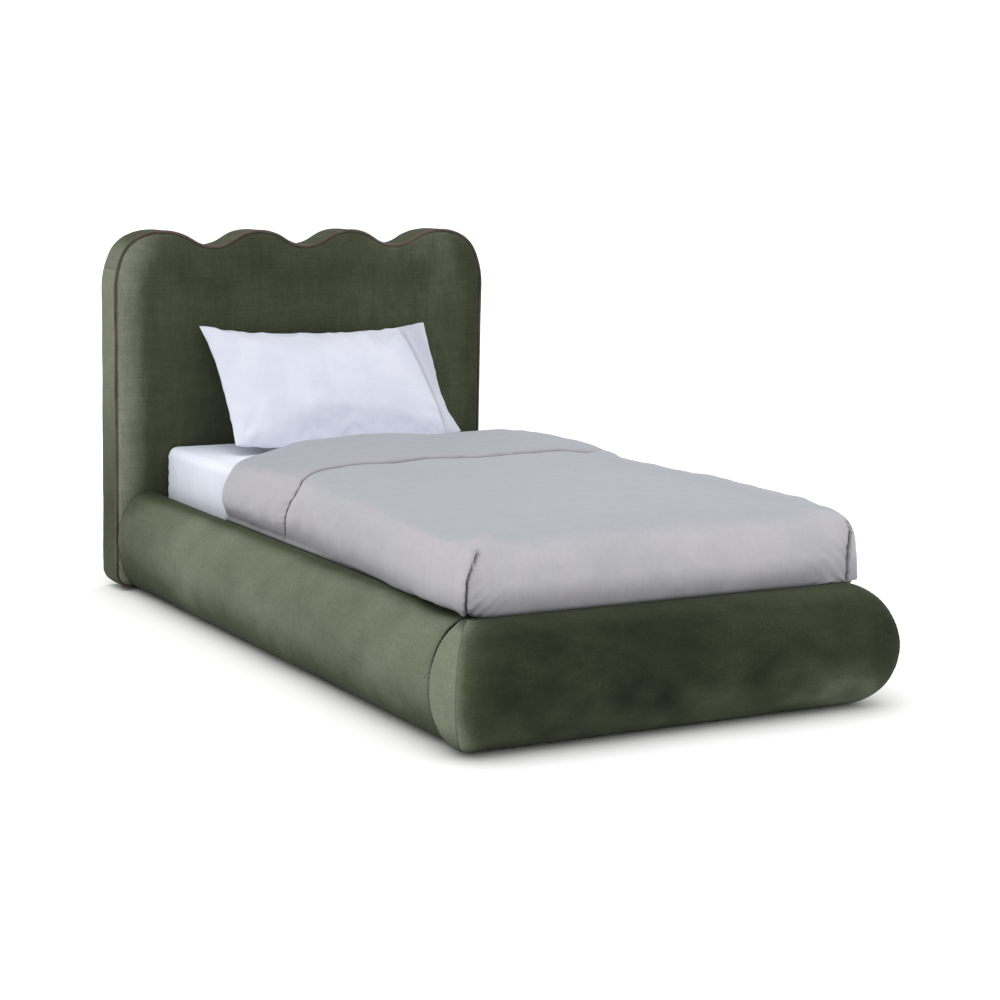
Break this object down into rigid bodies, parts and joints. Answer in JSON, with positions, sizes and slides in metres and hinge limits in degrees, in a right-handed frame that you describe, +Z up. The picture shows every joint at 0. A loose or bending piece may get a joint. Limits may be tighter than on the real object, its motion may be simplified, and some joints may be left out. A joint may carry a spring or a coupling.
{
  "type": "upholstered headboard bed",
  "caption": "Single bed in velvet: wavy-topped boxed headboard with contrast piping, rolled low side rails and foot board, slatted base, mattress, pillow and turned-back duvet.",
  "frame": {"origin": "on the floor under the middle of the footprint", "axes": "+X across the bed, +Y along the bed towards the headboard, +Z up"},
  "size_m": [1.224, 2.19, 1.0393],
  "materials": {
    "velvet": "cotton velvet, short pile",
    "piping": "woven piping cord cover",
    "lining_cloth": "non-woven lining",
    "foam": "upholstery foam",
    "plywood": "sanded birch plywood",
    "hardboard": "hardboard",
    "softwood": "planed softwood",
    "zinc_steel": "zinc plated",
    "black_steel": "satin black powder coat",
    "black_plastic": "moulded, fine grain",
    "beech": "bent beech lamination",
    "ticking": "quilted mattress ticking",
    "white_cotton": "plain weave cotton",
    "grey_cotton": "sateen cotton over a filled duvet",
    "wadding": "polyester filling"
  },
  "bodies": {
    "bed_frame": {"headboard_front_cover": "velvet", "headboard_border_cover": "velvet", "side_rail_cover_left": "velvet", "side_rail_cover_right": "velvet", "foot_board_cover": "velvet", "foot_end_panel_left": "velvet", "foot_end_panel_right": "velvet", "headboard_piping": "piping", "headboard_back_cloth": "lining_cloth", "headboard_front_foam": "foam", "headboard_border_foam": "foam", "side_rail_foam_left": "foam", "side_rail_foam_right": "foam", "foot_board_foam": "foam", "headboard_plywood_panel": "plywood", "headboard_back_board": "hardboard", "headboard_side_post_left": "softwood", "headboard_side_post_right": "softwood", "headboard_upright_left": "softwood", "headboard_upright_right": "softwood", "headboard_bottom_rail": "softwood", "headboard_middle_rail": "softwood", "headboard_top_rail": "softwood", "headboard_spacer_blocks": "softwood", "side_rail_core_left": "softwood", "side_rail_core_right": "softwood", "foot_board_core": "softwood", "slat_ledge_left": "softwood", "slat_ledge_right": "softwood", "frame_bolts": "zinc_steel", "tee_nuts": "zinc_steel", "ledge_screws": "zinc_steel", "slat_holders": "black_plastic", "floor_glides": "black_plastic", "slat_01": "beech", "slat_02": "beech", "slat_03": "beech", "slat_04": "beech", "slat_05": "beech", "slat_06": "beech", "slat_07": "beech", "slat_08": "beech", "slat_09": "beech", "slat_10": "beech", "slat_11": "beech", "slat_12": "beech", "slat_13": "beech", "slat_14": "beech", "corner_bracket_head_left": "black_steel", "corner_bracket_head_right": "black_steel", "corner_bracket_foot_left": "black_steel", "corner_bracket_foot_right": "black_steel"},
    "mattress": {"mattress_bottom_panel": "ticking", "mattress_core": "foam", "mattress_top_panel": "ticking", "mattress_border": "ticking", "fitted_sheet": "white_cotton"},
    "duvet": {"duvet": "grey_cotton"},
    "pillow": {"pillow_filling": "wadding", "pillowcase": "white_cotton"}
  },
  "joints": [
    {"name": "mattress_lift", "type": "slide", "parent": "bed_frame", "child": "mattress", "axis": [0, 0, 1], "range_m": [0, 0.4]},
    {"name": "duvet_lift", "type": "slide", "parent": "mattress", "child": "duvet", "axis": [0, 0, 1], "range_m": [0, 0.45]},
    {"name": "pillow_lift", "type": "slide", "parent": "mattress", "child": "pillow", "axis": [0, 0, 1], "range_m": [0, 0.65]}
  ]
}
